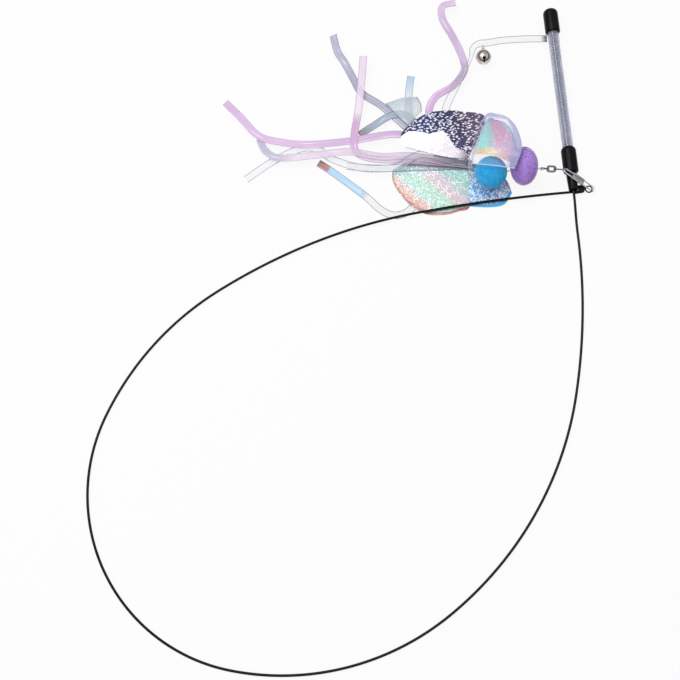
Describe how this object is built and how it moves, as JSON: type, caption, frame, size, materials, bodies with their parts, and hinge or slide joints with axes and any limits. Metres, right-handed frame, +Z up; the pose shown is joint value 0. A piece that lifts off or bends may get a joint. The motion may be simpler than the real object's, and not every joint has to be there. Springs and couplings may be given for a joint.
{
  "type": "cat teaser wand",
  "caption": "Cat teaser wand: grip of clear tube, long coated spring wire in one open loop, and a snap swivel lure of pompoms, film petals, ribbons and a bell.",
  "frame": {"origin": "middle of the bounding box, on the floor the wand lies on", "axes": "+Y from the wire loop towards the butt end of the grip, +Z up from the floor, +X towards the side with the grip"},
  "size_m": [0.3358, 0.4574, 0.0288],
  "materials": {
    "clear_tube": "clear tube with a faint lavender grey cast",
    "steel_strand": "bright twisted strand",
    "black_vinyl": "smooth dipped vinyl",
    "black_ferrule": "smooth",
    "coated_spring_wire": "glossy black coat on spring wire",
    "black_sleeve": "shrunk sleeve",
    "black_wire": "glossy",
    "bright_wire": "bright plated wire",
    "latch_plate": "bright pressed sheet",
    "swivel_steel": "dark nickel",
    "white_string": "braided",
    "purple_fluff": "fuzzy",
    "blue_fluff": "fuzzy",
    "clear_band": "clear shrunk band",
    "copper_foil": "metallised film, plain side",
    "aqua_foil": "metallised film with a dotted shimmer",
    "blue_foil": "metallised film with a dotted shimmer",
    "navy_foil": "metallised film with a dotted shimmer",
    "teal_foil": "metallised film with a dotted shimmer",
    "lavender_film": "clear shimmering film",
    "two_tone_film": "film, brown to pale blue",
    "clear_film": "clear film",
    "grey_film": "grey lavender film",
    "smoke_film": "smoky blue film",
    "pale_blue_film": "clear pale blue film",
    "pink_film": "pink shimmering film",
    "bell_wire": "bright",
    "bell_metal": "bright plated shell",
    "ball_steel": "plain"
  },
  "bodies": {
    "wand": {"handle_tube": "clear_tube", "handle_core": "steel_strand", "butt_cap": "black_vinyl", "neck_cap": "black_vinyl", "neck_ferrule": "black_ferrule", "rod": "coated_spring_wire", "tip_sleeve": "black_sleeve", "tip_eye": "black_wire"},
    "snap": {"snap_wire": "bright_wire", "snap_plate": "latch_plate"},
    "gate": {"snap_gate": "bright_wire"},
    "swivel_front": {"swivel_front_eye": "swivel_steel"},
    "swivel_barrel": {"swivel_frame": "swivel_steel"},
    "swivel_rear": {"swivel_rear_eye": "swivel_steel"},
    "lure": {"string": "white_string", "purple_pompom": "purple_fluff", "blue_pompom": "blue_fluff", "tie_band": "clear_band", "film_copper": "copper_foil", "film_aqua": "aqua_foil", "film_blue": "blue_foil", "film_teal": "teal_foil", "ribbon_two_tone": "two_tone_film", "ribbon_curl": "clear_film", "ribbon_grey": "grey_film", "ribbon_smoke": "smoke_film", "ribbon_short": "pale_blue_film", "film_panel": "clear_film", "ribbon_pink_top": "pink_film", "ribbon_bell": "clear_film", "ribbon_pink_long": "pink_film", "ribbon_pink_upright": "pink_film", "ribbon_pink_low": "pink_film", "ribbon_clear": "clear_film", "bell_ring": "bell_wire"},
    "navy_petal": {"film_navy": "navy_foil"},
    "lavender_petal": {"film_lavender": "lavender_film"},
    "bell": {"bell_shell": "bell_metal", "bell_eye": "bell_wire"},
    "ball": {"bell_ball": "ball_steel"}
  },
  "joints": [
    {"name": "snap_swing", "type": "hinge", "parent": "wand", "child": "snap", "pos_m": [0.16323, 0.08954, 0.00251], "axis": [0.3665, 0.9304, 0], "range_deg": [0, 120]},
    {"name": "gate_open", "type": "hinge", "parent": "snap", "child": "gate", "pos_m": [0.14644, 0.09922, 0.01448], "axis": [0.493, -0.1942, 0.848], "range_deg": [0, 10], "stiffness_Nm_per_rad": 0.002},
    {"name": "eye_lift", "type": "hinge", "parent": "snap", "child": "swivel_front", "pos_m": [0.14436, 0.09864, 0.01538], "axis": [0.0523, 0.9986, 0], "range_deg": [0, 45]},
    {"name": "barrel_spin", "type": "hinge", "parent": "swivel_front", "child": "swivel_barrel", "pos_m": [0.13592, 0.09909, 0.01538], "axis": [-0.9986, 0.0523, 0], "continuous": true},
    {"name": "lure_turn", "type": "hinge", "parent": "swivel_front", "child": "swivel_rear", "pos_m": [0.13038, 0.09938, 0.01538], "axis": [-0.9986, 0.0523, 0], "range_deg": [0, 100]},
    {"name": "lure_lift", "type": "hinge", "parent": "swivel_rear", "child": "lure", "pos_m": [0.13038, 0.09938, 0.01538], "axis": [0.0523, 0.9986, 0], "range_deg": [0, 45]},
    {"name": "navy_lift", "type": "hinge", "parent": "lure", "child": "navy_petal", "pos_m": [0.08038, 0.10668, 0.0067], "axis": [0, 1, 0], "range_deg": [0, 25], "stiffness_Nm_per_rad": 0.00005},
    {"name": "lavender_lift", "type": "hinge", "parent": "lure", "child": "lavender_petal", "pos_m": [0.08263, 0.10618, 0.0079], "axis": [0.36, -0.933, 0], "range_deg": [0, 30], "stiffness_Nm_per_rad": 0.00005},
    {"name": "bell_swing", "type": "hinge", "parent": "lure", "child": "bell", "pos_m": [0.09413, 0.19268, 0.0053], "axis": [-1, 0, 0], "range_deg": [0, 60]},
    {"name": "ball_roll", "type": "slide", "parent": "bell", "child": "ball", "axis": [0, 0, 1], "range_m": [0, 0.006]}
  ]
}
